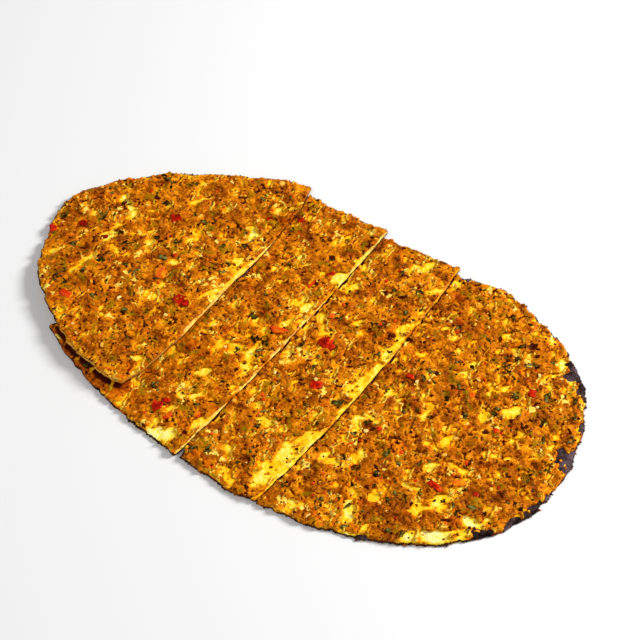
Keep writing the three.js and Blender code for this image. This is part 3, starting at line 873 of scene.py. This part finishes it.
def lying_places(count, seed, bare=0.5, margin=1.5):
    """Random places on the slices, and the generator that drew them.

    They keep margin mm clear of rims and cuts. Of those on bare dough only the share bare stays.
    """
    draw = np.random.default_rng(seed)
    rows = []
    while len(rows) < count:
        name = draw.choice(list(SLICES), p=SLICE_SHARES)
        slice_ = SLICES[name]
        r = draw.integers(slice_["surface"].shape[0])
        c = draw.integers(slice_["surface"].shape[1])
        clear = slice_["to_rim"][r, c] > margin and slice_["to_cut"][r, c] > margin
        if not slice_["inside"][r, c] or not clear:
            continue
        if slice_["cover"][r, c] < 0.1 and draw.random() > bare:
            continue
        x = slice_["corner"][0] + c * MEAT_CELL
        y = slice_["corner"][1] + r * MEAT_CELL
        if name == "slice_2" and hidden_by_slice_1(x, y):
            continue
        rows.append((x, y, slice_["surface"][r, c]))
    return np.array(rows), draw


def hidden_by_slice_1(x, y):
    """Whether slice 1 lies over this place of slice 2, or close beside it."""
    past = (x - UPPER_RIM_PLACE[0]) * UPPER_RIM_ACROSS[0]
    past += (y - UPPER_RIM_PLACE[1]) * UPPER_RIM_ACROSS[1]
    return (past > -2) & (x < UPPER_RIM_END)


def surface_at(x, y):
    """Height of the slices' meat or bare dough at one place."""
    best = 0.0
    for slice_ in SLICES.values():
        c = int(round((x - slice_["corner"][0]) / MEAT_CELL))
        r = int(round((y - slice_["corner"][1]) / MEAT_CELL))
        rows, columns = slice_["surface"].shape
        if 0 <= r < rows and 0 <= c < columns and slice_["inside"][r, c]:
            best = max(best, slice_["surface"][r, c])
    return best


def turned(points, tilt, spin):
    """Copies of points (n, v, 3), each tipped by tilt (n, 2) and then spun by spin (n)."""
    for axis, angle in ((0, tilt[:, 0]), (1, tilt[:, 1]), (2, spin)):
        a, b = [k for k in range(3) if k != axis]
        c, s = np.cos(angle)[:, None], np.sin(angle)[:, None]
        pa, pb = points[..., a].copy(), points[..., b].copy()
        points[..., a] = pa * c - pb * s
        points[..., b] = pa * s + pb * c
    return points


def joined(name, points, faces, tone):
    """One piece of many small solids: points (n, v, 3) in mm, faces shared by all, tone by point."""
    n, v = points.shape[:2]
    all_faces = (faces[None] + (np.arange(n) * v)[:, None, None]).reshape(-1, faces.shape[1])
    piece = piece_of(name, points.reshape(-1, 3), all_faces)
    store_shade(piece, "tone", np.broadcast_to(tone, (n, v)))
    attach(piece, "root")
    return piece


def ball(level):
    """Points and faces of a round lump of radius 1."""
    made = bmesh.new()
    bmesh.ops.create_icosphere(made, subdivisions=level, radius=1)
    points = np.array([v.co[:] for v in made.verts])
    faces = np.array([[v.index for v in f.verts] for f in made.faces])
    made.free()
    return points, faces


places, draw = lying_places(CRUMB_COUNT, 11)
points, faces = ball(1)
count = len(places)
size = np.exp(draw.normal(-0.35, 0.35, count)).clip(0.35, 1.5)[:, None, None]
stretch = draw.uniform(0.65, 1.3, (count, 1, 3)) * (1, 1, 0.6)
crumbs = points[None] * size * stretch * draw.uniform(0.6, 1.4, (count, len(points), 1))
crumbs = turned(crumbs, draw.uniform(-0.4, 0.4, (count, 2)), draw.uniform(0, 6.28, count))
crumbs += (places + (0, 0, 0.05))[:, None]
crumb_pieces = joined("mince_crumbs", crumbs, faces, draw.random((count, 1)))
crumb_finish, tree, shader = new_material("crumb_brown", 0.5, 0.1)
tone = total(tree, attribute(tree, "tone"), grow(tree, noise(tree, 0.8), 0.5))
face = ramp(tree, tone, [
    (0.0, (30, 2, 0)), (0.2, (84, 24, 0)), (0.45, (140, 66, 2)), (0.75, (190, 104, 6)),
    (1.0, (230, 140, 16)),
])
tree.links.new(face, shader.inputs["Base Color"])
crumb_pieces.data.materials.append(crumb_finish)

# Pepper and tomato: red and orange dice of 3 to 12 mm, cut by hand and baked until soft. The meat
# was pressed round them, and smaller bits of 1 to 3 mm lie all over.
# Each of the larger ones: middle, length and width in mm, turn in degrees, tone from red to orange
DICE = [
    (-161, -7, 6, 5, 103, 0.2), (-115, 30, 8, 6, 47, 0.15), (-134, -57, 9, 6, -3, 0.45),
    (-72, -20, 10, 9, 12, 0.15), (-95, -12, 8, 8, 35, 0.85), (-144, -7, 5, 3, 35, 0.1),
    (-174, -21, 5, 5, 35, 0.3), (-66, 64, 5, 4, 35, 0.3), (-12, -1, 10, 5, 23, 0.6),
    (-41, -85, 7, 7, 35, 0.25), (-39, -79, 6, 3, 35, 0.3), (-32, -87, 7, 4, 58, 0.55),
    (-15, 41, 11, 5, 59, 0.5), (-10, 51, 6, 3, 50, 0.2), (-49, 74, 4, 4, 35, 0.15),
    (-18, -76, 4, 4, 35, 0.7), (17, 9, 11, 8, -10, 0.25), (28, -19, 8, 6, 35, 0.3),
    (8, 26, 4, 3, 35, 0.8), (36, 38, 3, 3, 35, 0.6), (137, 50, 6, 5, 12, 0.25),
    (123, -35, 9, 4, -4, 0.3), (132, -26, 12, 4, 29, 0.75), (71, 18, 6, 3, 12, 0.15),
    (76, -22, 4, 3, 35, 0.5), (145, -26, 4, 3, 35, 0.2), (131, -11, 7, 4, 1, 0.55),
    (108, 29, 4, 4, 35, 0.5), (68, -39, 5, 3, 35, 0.4), (133, 16, 3, 3, 35, 0.5),
    (94, -27, 4, 3, 35, 0.5),
]
SMALL_DICE_COUNT = 150


def soft_block(level=3, squareness=0.7):
    """Points and faces of a block of half size 1 with round corners and sides."""
    points, faces = ball(level)
    square = points / np.abs(points).max(1)[:, None]
    return points * (1 - squareness) + square * squareness * 0.9, faces


def knobbly(points, seed, size, depth):
    """Moves each point of each copy in or out by swells about size long."""
    for axis, push in ((0, 3), (1, 11), (2, 23)):
        u = points[..., (axis + 1) % 3] + seed[:, None] * 7.3
        v = points[..., (axis + 2) % 3]
        points[..., axis] += depth * swell(u, v, size, push) * points[..., axis]
    return points


block, block_faces = soft_block()
places, draw = lying_places(SMALL_DICE_COUNT, 21, bare=0.3, margin=2.5)
placed = np.array([(x, y, surface_at(x, y)) for x, y, *_ in DICE])
places = np.vstack([placed, places])
count = len(places)
small = draw.uniform(0.5, 1.3, SMALL_DICE_COUNT)
halves = [(length / 2, width / 2) for _, _, length, width, _, _ in DICE]
halves = np.vstack([halves, np.stack([small, small * draw.uniform(0.4, 0.9, SMALL_DICE_COUNT)], 1)])
turns = np.concatenate([np.radians([d[4] for d in DICE]), draw.uniform(0, 6.28, SMALL_DICE_COUNT)])
tones = np.concatenate([[d[5] for d in DICE], draw.uniform(0.05, 0.75, SMALL_DICE_COUNT)])
thick = np.minimum(0.75, halves[:, 1] * 0.5)
dice = block[None] * np.stack([halves[:, 0], halves[:, 1], thick], 1)[:, None]
dice[..., 1] *= 1 - 0.35 * block[None, :, 0] * draw.uniform(-1, 1, (count, 1))
dice[..., 1] += 0.3 * draw.uniform(-1, 1, (count, 1)) * block[None, :, 0] ** 2 * halves[:, 1][:, None]
dice = knobbly(dice, np.arange(count), 2.4, 0.28)
uneven = [swell(dice[..., 1] + 9 * tones[:, None], dice[..., 0], 2.2, k) for k in (5, 6)]
dice[..., :2] += 0.3 * np.stack(uneven, -1)
dice = turned(dice, draw.uniform(-0.1, 0.1, (count, 2)), turns)
sunk = np.where(np.arange(count) < len(DICE), -0.05, 0.2 * thick)
dice += (places - np.stack([0 * sunk, 0 * sunk, sunk], 1))[:, None]
pepper = joined("pepper_dice", dice, block_faces, tones[:, None])
pepper_finish, tree, shader = new_material("soft_pepper", 0.35, 0.2)
blotch = total(tree, grow(tree, noise(tree, 2.6, 3), 1.3), grow(tree, noise(tree, 0.9, 2), 0.8))
face = ramp(tree, total(tree, attribute(tree, "tone"), blotch), [
    (0.0, (116, 6, 0)), (0.2, (174, 14, 4)), (0.4, (210, 42, 10)), (0.6, (228, 78, 14)),
    (0.8, (230, 110, 8)), (1.0, (238, 150, 20)),
])
tree.links.new(face, shader.inputs["Base Color"])
bump(tree, shader, noise(tree, 1.2, 3), 0.6)
pepper.data.materials.append(pepper_finish)

# Leaves: parsley chopped with a knife, wilted dark green to black in the oven. Each is a flake 1 to
# 5 mm long, the largest up to 8 mm, half sunk in the meat and a little curled. They lie in tufts.
LEAF_TUFTS = 190
# The largest leaves: middle, length, width in mm and turn in degrees
LARGE_LEAVES = [
    (-102, 0, 6, 4, 20), (-119, -19, 7, 3, 35), (-137, 1, 4, 3, 60), (-99, 38, 5, 3, 10),
    (-78, 29, 5, 3, 50), (-121, 58, 4, 3, 0), (-146, -45, 5, 4, 80), (-155, -25, 5, 4, 120),
    (-94, -87, 4, 4, 35), (-21, -14, 5, 4, 20), (-32, -1, 5, 4, 75), (-96, -46, 4, 3, 30),
    (-71, -35, 4, 3, 90), (-116, 11, 4, 3, 15), (43, 71, 5, 4, 35), (29, 63, 4, 3, 100),
    (36, 38, 4, 3, 50), (11, -52, 6, 4, 35), (112, 16, 7, 3, 115), (126, 25, 4, 3, 20),
    (117, 66, 5, 3, 80), (76, 64, 5, 4, 30), (99, -33, 6, 5, 35), (83, -61, 4, 3, 35),
    (126, 66, 6, 4, 10), (146, 53, 8, 4, 105), (152, 36, 7, 4, 95), (159, 27, 6, 2, 120),
    (87, 2, 4, 3, 90), (96, 2, 4, 2, 45), (148, -34, 6, 3, 15), (170, 10, 6, 3, 40),
    (100, 89, 5, 3, 120), (107, -28, 5, 3, 35), (165, -2, 5, 3, 110), (65, -33, 5, 3, 35),
    (75, -73, 5, 3, 60), (94, -86, 4, 3, 20), (124, -71, 5, 3, 100),
]


def leaf_shape(rows=6, columns=3):
    """Points and faces of a thin flake from -1 to 1 along x, closed all round."""
    stations = [(i, j) for i in range(rows + 1) for j in range(columns + 1)]
    grid = np.array([(2 * i / rows - 1, 2 * j / columns - 1) for i, j in stations])
    width = np.sqrt(np.clip(1.05 - grid[:, 0] ** 2, 0.05, 1)) * (1 + 0.25 * np.sin(5 * grid[:, 0]))
    flat = np.stack([grid[:, 0], grid[:, 1] * width, 0 * width], 1)
    n = len(flat)
    points = np.vstack([flat + (0, 0, 0.5), flat - (0, 0, 0.5)])
    step = columns + 1
    faces = []
    for i in range(rows):
        for j in range(columns):
            a, b = i * step + j, (i + 1) * step + j
            faces += [(a, b, b + 1, a + 1), (a + 1 + n, b + 1 + n, b + n, a + n)]
    for i in range(rows):
        a, b = i * step, (i + 1) * step
        faces += [(b, a, a + n, b + n), (a + columns, b + columns, b + columns + n, a + columns + n)]
    for j in range(columns):
        a, b = j, rows * step + j
        faces += [(a, a + 1, a + 1 + n, a + n), (b + 1, b, b + n, b + 1 + n)]
    return points, np.array(faces)


points, faces = leaf_shape()
tufts, draw = lying_places(LEAF_TUFTS, 31, bare=0.25, margin=4)
places = np.repeat(tufts, draw.geometric(0.42, LEAF_TUFTS).clip(1, 6), 0)
places[:, :2] += draw.normal(0, 1.1, (len(places), 2))
places[:, 2] = [surface_at(x, y) for x, y in places[:, :2]]
large = np.array([
    (x, y, surface_at(x, y), length / 2, width / 2) for x, y, length, width, _ in LARGE_LEAVES
])
count = len(places) + len(large)
half_long = np.concatenate([large[:, 3], np.exp(draw.normal(0.25, 0.4, len(places))).clip(0.5, 2.4)])
half_wide = half_long * draw.uniform(0.25, 0.65, count)
half_wide[:len(large)] = large[:, 4]
turns = np.radians([leaf[4] for leaf in LARGE_LEAVES])
turns = np.concatenate([turns, draw.uniform(0, 6.28, len(places))])
places = np.vstack([large[:, :3], places])
leaves = points[None] * np.stack([half_long, half_wide, np.full(count, 0.22)], 1)[:, None]
n = len(points) // 2
ragged = draw.normal(0, 0.2, (count, n, 2)) * half_wide[:, None, None]
leaves[..., :2] += np.concatenate([ragged, ragged], 1)
curl = draw.uniform(-0.5, 0.5, (count, 1)) * leaves[..., 0] ** 2 / np.maximum(half_long, 1)[:, None]
curl += draw.uniform(-0.6, 0.2, (count, 1)) * leaves[..., 1] ** 2 / np.maximum(half_wide, 0.5)[:, None]
crumple = draw.normal(0, 0.13, (count, n))
leaves[..., 2] += 0.5 * curl + np.concatenate([crumple, crumple], 1)
leaves = turned(leaves, draw.uniform(-0.22, 0.22, (count, 2)), turns)
leaves += (places + (0, 0, 0.22))[:, None]
# Painted sheen: each leaf is paler in its middle, and the largest leaves are paler overall
paler_middle = 0.55 * (1 - np.abs(points[:, 1]) - 0.5 * np.abs(points[:, 0]))
tones = draw.uniform(0.15, 0.8, (count, 1)) + 0.2 * (half_long > 3.6)[:, None]
herbs = joined("herb_flakes", leaves, faces, tones + paler_middle)
herb_finish, tree, shader = new_material("wilted_leaf", 0.45, 0.08)
tone = total(tree, attribute(tree, "tone"), grow(tree, noise(tree, 1.1, 2), 1.6))
face = ramp(tree, tone, [
    (0.0, (20, 0, 0)), (0.35, (44, 16, 0)), (0.6, (66, 52, 6)), (0.8, (88, 78, 22)),
    (1.0, (124, 114, 58)),
])
tree.links.new(face, shader.inputs["Base Color"])
herbs.data.materials.append(herb_finish)

# Onion: chopped fine and baked soft, so that it is glassy, pale and golden. The bits are short rods
# and slivers, 1 to 4 mm long, pressed into the meat.
ONION_COUNT = 200
places, draw = lying_places(ONION_COUNT, 41, bare=0.8, margin=2)
count = len(places)
half_long = draw.uniform(0.6, 1.8, count)
half_wide = half_long * draw.uniform(0.4, 0.9, count)
block, block_faces = soft_block(2)
onions = block[None] * np.stack([half_long, half_wide, half_wide * 0.45], 1)[:, None]
onions[..., 1] += draw.uniform(-0.35, 0.35, (count, 1)) * block[None, :, 0] ** 2 * half_long[:, None]
onions = knobbly(onions, np.arange(count), 1.5, 0.35)
onions = turned(onions, draw.uniform(-0.15, 0.15, (count, 2)), draw.uniform(0, 6.28, count))
onions += (places + (0, 0, 0.12))[:, None]
onion = joined("onion_bits", onions, block_faces, draw.random((count, 1)))
onion_finish, tree, shader = new_material("soft_onion", 0.35, 0.15)
face = ramp(tree, attribute(tree, "tone"), [
    (0.0, (204, 112, 6)), (0.35, (232, 148, 20)), (0.65, (246, 186, 66)), (1.0, (252, 218, 130)),
])
tree.links.new(face, shader.inputs["Base Color"])
onion.data.materials.append(onion_finish)

# Burnt rim bits: where the dough was thinnest the rim has burnt to a dark crumbling crust, with
# small spikes where blisters burst. They are the same dough, and stay on the rim.
RIM_BIT_SPACING = 1.7
SPIKE_SHARE = 0.08
points, faces = ball(1)
draw = np.random.default_rng(51)
rows = []
for slice_ in SLICES.values():
    stops = np.flatnonzero(slice_["rim"] > 0.9)
    stops = stops[draw.random(len(stops)) < OUTLINE_STEP / RIM_BIT_SPACING]
    line, outward = slice_["line"][stops], slice_["outward"][stops]
    c = np.round((line[:, 0] - slice_["rim_corner"][0]) / DOUGH_CELL).astype(int)
    r = np.round((line[:, 1] - slice_["rim_corner"][1]) / DOUGH_CELL).astype(int)
    rows.append(np.column_stack([line, slice_["rim_height"][r, c], outward]))
rows = np.vstack(rows)
rows = rows[~hidden_by_slice_1(rows[:, 0], rows[:, 1])]
count = len(rows)
spike = draw.random(count) < SPIKE_SHARE
half_long = np.where(spike, draw.uniform(1.1, 1.9, count), draw.uniform(0.45, 1.1, count))
half_wide = np.where(spike, draw.uniform(0.6, 0.95, count), draw.uniform(0.35, 0.8, count))
bits = points[None] * np.stack([half_long, half_wide, half_wide * 0.7], 1)[:, None]
bits[..., 1:] *= np.where(spike, 1.0, 0.3)[:, None, None] * (-0.4 * points[None, :, :1]) + 1
bits *= draw.uniform(0.75, 1.25, (count, len(points), 1))
facing = np.arctan2(rows[:, 4], rows[:, 3]) + draw.normal(0, 0.5, count)
bits = turned(bits, draw.uniform(-0.2, 0.2, (count, 2)), facing)
beyond = (half_long * 0.3 - 0.35)[:, None]
bits += (rows[:, :3] + np.column_stack([rows[:, 3:] * beyond, np.full(count, 0.1)]))[:, None]
rim_bits = joined("burnt_rim_bits", bits, faces, draw.random((count, 1)))
rim_finish, tree, shader = new_material("burnt_crust", 0.6, 0.15, CLEAR_GLOSS)
tone = total(tree, attribute(tree, "tone"), grow(tree, noise(tree, 1.0, 2), 0.8))
face = ramp(tree, tone, [
    (0.0, (8, 3, 2)), (0.55, (34, 13, 4)), (0.85, (84, 36, 6)), (1.0, (150, 76, 8)),
])
tree.links.new(face, shader.inputs["Base Color"])
rim_bits.data.materials.append(rim_finish)

# Floor and lights: a plain pale surface under soft studio light. The strongest light stands behind
# on the right, and a wide weak one in front on the left keeps the near rim from going dark.
FLOOR_HALF = 3
floor_corners = [(x * FLOOR_HALF, y * FLOOR_HALF, 0) for x, y in ((-1, -1), (1, -1), (1, 1), (-1, 1))]
floor_mesh = bpy.data.meshes.new("floor")
floor_mesh.from_pydata(floor_corners, [], [(0, 1, 2, 3)])
floor = bpy.data.objects.new("floor", floor_mesh)
bpy.context.collection.objects.link(floor)
floor_finish, tree, shader = new_material("pale_floor", 0.8, 0.5, CLEAR_GLOSS)
shader.inputs["Base Color"].default_value = (0.86, 0.86, 0.86, 1)
floor_mesh.materials.append(floor_finish)

world = bpy.context.scene.world or bpy.data.worlds.new("world")
bpy.context.scene.world = world
world.use_nodes = True
background = world.node_tree.nodes["Background"]
background.inputs["Color"].default_value = (1, 1, 1, 1)
background.inputs["Strength"].default_value = 0.32


def area_light(name, place, size, power):
    """A square light that faces the bread."""
    light = bpy.data.lights.new(name, "AREA")
    light.energy = power
    light.size = size
    holder = bpy.data.objects.new(name, light)
    holder.location = place
    holder.rotation_euler = (-Vector(place)).to_track_quat("-Z", "Y").to_euler()
    bpy.context.collection.objects.link(holder)


area_light("key_light", (0.85, 1.0, 0.95), 0.45, 30)
area_light("fill_light", (-0.6, -0.8, 1.3), 1.2, 7)
